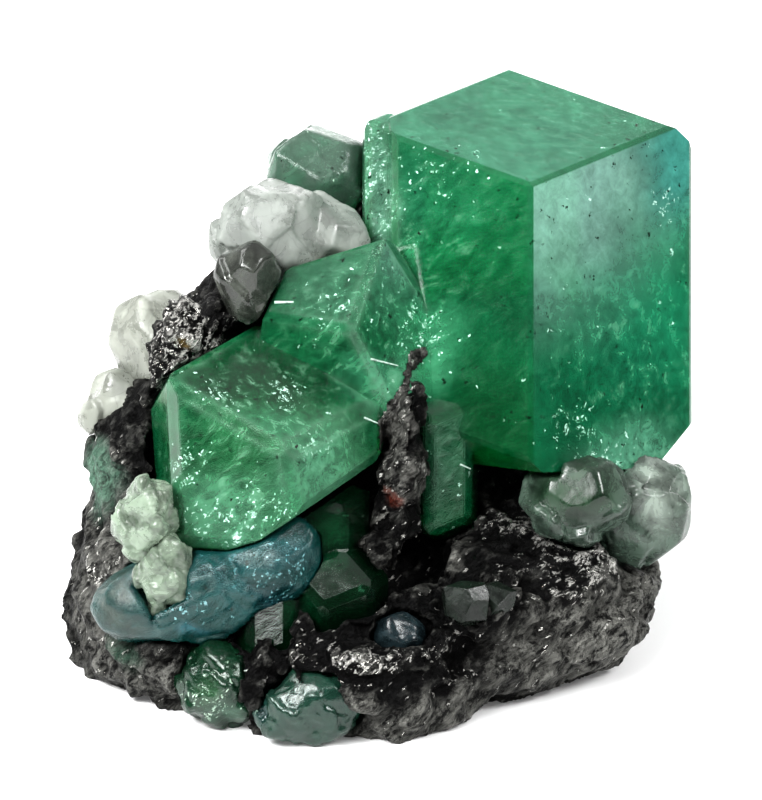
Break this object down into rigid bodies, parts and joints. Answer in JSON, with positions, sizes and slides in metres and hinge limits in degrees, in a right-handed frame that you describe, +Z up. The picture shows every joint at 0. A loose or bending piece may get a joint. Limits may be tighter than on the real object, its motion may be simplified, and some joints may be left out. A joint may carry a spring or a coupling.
{
  "type": "tsavorite in matrix",
  "caption": "Green garnet crystals standing in a lump of black graphite rock with grains of quartz and a blue crystal, cut flat underneath to rest on a surface.",
  "frame": {"origin": "middle of the bounding box at the level of the flat cut underside", "axes": "+Z up; the show side faces -Y; +X is to the right of a viewer who looks at the show side"},
  "size_m": [0.0286, 0.0286, 0.0232],
  "materials": {
    "tsavorite": "clear green garnet with bright smooth faces and cloudy veils inside",
    "dark_tsavorite": "dark green garnet, glassy",
    "pale_tsavorite": "pale blue-green garnet, glassy and rounded",
    "tanzanite": "steel-blue crystal, worn and cracked, waxy to glassy",
    "quartz": "cloudy white quartz, broken surface",
    "grey_quartz": "grey glassy quartz grains",
    "green_quartz": "pale yellow-green to grey-green quartz, cloudy",
    "graphite": "black flaky graphite rock with a metallic shimmer"
  },
  "bodies": {
    "root": {"tsavorite_cluster": "tsavorite", "lower_tsavorite": "dark_tsavorite", "round_tsavorite": "pale_tsavorite", "back_tsavorite": "dark_tsavorite", "tanzanite_crystal": "tanzanite", "teal_grain": "pale_tsavorite", "upper_quartz": "quartz", "grey_quartz": "grey_quartz", "left_quartz": "quartz", "crust_quartz": "green_quartz", "right_quartz": "green_quartz", "clear_quartz": "grey_quartz", "small_quartz": "grey_quartz", "graphite_matrix": "graphite"}
  },
  "joints": []
}
